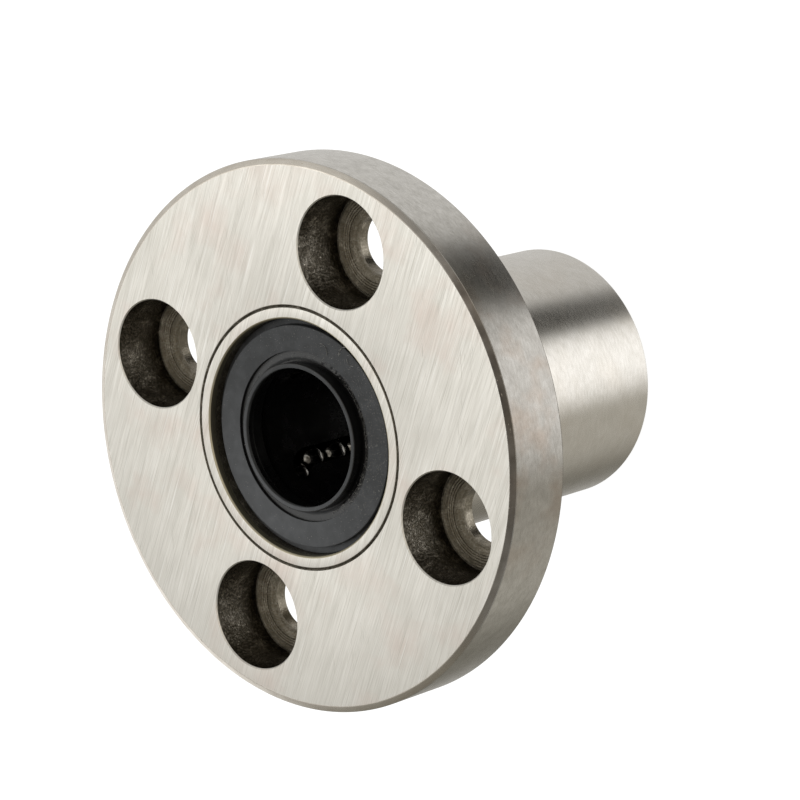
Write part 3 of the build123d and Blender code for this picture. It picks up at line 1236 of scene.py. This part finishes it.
@dataclass
class Studio:
    """Camera, lamp, floor and surroundings."""

    focal_length: float = 156.1045
    sensor_width: float = 36.0
    camera_place: tuple[float, float, float] = (170.984, -25.695, 181.177)
    camera_right: tuple[float, float, float] = (0.66351947, -0.35873803, -0.65654317)
    camera_up: tuple[float, float, float] = (0.33168569, 0.92764133, -0.17165712)
    camera_clip: Span = (0.01, 10.0)  # metres
    floor_half: float = 1500.0
    floor_drop: float = 0.02
    floor_shade: float = 0.8  # linear, as the object's light meets it
    shown_shade: float = 0.22  # linear, as the camera sees its shadows
    shown_glow: float = 0.94
    lamp: Card = Card(157, 55)
    lamp_size: float = 0.3  # metres
    lamp_distance: float = 0.5  # metres
    lamp_power: float = 1.0  # watts
    base_colour: str = "7C7970"
    cards: tuple[Card, ...] = (
        Card(150, 80, 8, 34, "FFFDF8", 0.6),
        Card(60, 50, 8, 36, "FFFEFB", 0.5),
        Card(-80, 50, 8, 32, "FFFEFB", 0.45),
        Card(145, 25, 20, 70, "FFFEFB", 0.66),
        Card(178, -4, 6, 30, "FFFFFF", 1.2),
        Card(150, 52, 4, 23, "FFFEFB", 1.55),
        Card(120, -45, 30, 66, "FFFDF9", 0.69),
        Card(-62, -50, 6, 45, "C8C4BA", 0.88),
        Card(-11, -50, 3, 29, "FFFEFC", 1.5),
        Card(-10, 50, 12, 46, "FFF9EE", 0.75),
        Card(39, -50, 2, 15, "202020", 1.0),
    )

    def camera(self) -> None:
        """The camera, at the photograph's viewing angle."""
        data = bpy.data.cameras.new("camera")
        data.lens = self.focal_length
        data.sensor_width = self.sensor_width
        data.clip_start, data.clip_end = self.camera_clip
        right, up = Vector(self.camera_right).normalized(), Vector(self.camera_up).normalized()
        turn = Matrix((right, up, right.cross(up))).transposed().to_4x4()
        camera = add_object("camera", data)
        camera.matrix_world = Matrix.Translation(Vector(self.camera_place) * MM) @ turn
        bpy.context.scene.camera = camera

    def surroundings(self) -> None:
        """A soft pale tent with a few cards, and plain white behind the object."""
        world = bpy.data.worlds.new("studio")
        bpy.context.scene.world = world
        world.use_nodes = True
        net = Net(world.node_tree)
        net.tree.nodes.clear()
        heading = net.add("ShaderNodeTexCoord").outputs["Generated"]
        light: Any = linear(self.base_colour)
        for card in self.cards:
            toward = net.add(VECTOR, (heading, card.heading()), operation="DOT_PRODUCT")
            edge = cos(radians(card.outer)), cos(radians(card.inner))
            patch = net.add(RANGE, (toward, *edge), interpolation_type="SMOOTHSTEP")
            colour = scaled(linear(card.colour), card.strength)
            light = net.add(MIX, {"Factor": patch, "A": light, "B": colour}, data_type="RGBA")
        seen = net.add("ShaderNodeLightPath").outputs["Is Camera Ray"]
        shown = net.add(MIX, {"Factor": seen, "A": light, "B": WHITE}, data_type="RGBA")
        background = net.add("ShaderNodeBackground", {"Color": shown, "Strength": 1.0})
        net.add("ShaderNodeOutputWorld", {"Surface": background})

    def floor_material(self) -> Material:
        """White to the camera, and plain matt to the object's light."""
        material = bpy.data.materials.new("studio_floor")
        material.use_nodes = True
        net = Net(material.node_tree)
        net.tree.nodes.clear()
        plain = net.add("ShaderNodeBsdfDiffuse", {"Color": scaled(WHITE, self.floor_shade)})
        faint = net.add("ShaderNodeBsdfDiffuse", {"Color": scaled(WHITE, self.shown_shade)})
        glow = net.add("ShaderNodeEmission", {"Color": WHITE, "Strength": self.shown_glow})
        white = net.add("ShaderNodeAddShader", (faint, glow))
        seen = net.add("ShaderNodeLightPath").outputs["Is Camera Ray"]
        shown = net.add("ShaderNodeMixShader", (seen, plain, white))
        net.add("ShaderNodeOutputMaterial", {"Surface": shown})
        return material

    def floor(self) -> None:
        """A white floor just under the sleeve's rear end, which keeps the object's soft shadow."""
        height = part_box("outer_sleeve")[0].z - self.floor_drop * MM
        half = self.floor_half * MM
        mesh = bpy.data.meshes.new("floor")
        corners = [(x * half, y * half, height) for x, y in ((-1, -1), (1, -1), (1, 1), (-1, 1))]
        mesh.from_pydata(corners, [], [(0, 1, 2, 3)])
        mesh.materials.append(self.floor_material())
        floor = add_object("floor", mesh)
        floor.visible_glossy = False
        floor.visible_shadow = False

    def softbox(self) -> None:
        """One large softbox up to the side, which gives the soft shadow."""
        data = bpy.data.lights.new("softbox", "AREA")
        data.shape = "DISK"
        data.size = self.lamp_size
        data.energy = self.lamp_power
        lamp = add_object("softbox", data)
        lamp.location = self.lamp.heading() * self.lamp_distance
        lamp.rotation_mode = "QUATERNION"
        lamp.rotation_quaternion = self.lamp.heading().to_track_quat("Z", "Y")
        lamp.visible_camera = False
        lamp.visible_glossy = False

    def build(self) -> None:
        """Set up the whole studio."""
        bpy.context.scene.view_settings.view_transform = "Standard"
        self.camera()
        self.surroundings()
        self.floor()
        self.softbox()


def main() -> None:
    """Build the pieces in order and report each one."""
    logging.basicConfig(level=logging.INFO, format="%(name)s: %(message)s")
    cutting, circuits = cut_pattern(), BallCircuits()
    Flange().build(cutting)
    Sleeve(circuits).build(cutting)
    seal = Seal()
    front = seal.build("front_seal")
    seal.build("rear_seal")
    seal.dust(front, dust_scatter(), lint_fibres())
    circuits.build(ball_group())
    dress_inner_parts()
    Studio().build()


if __name__ == "__main__":
    main()
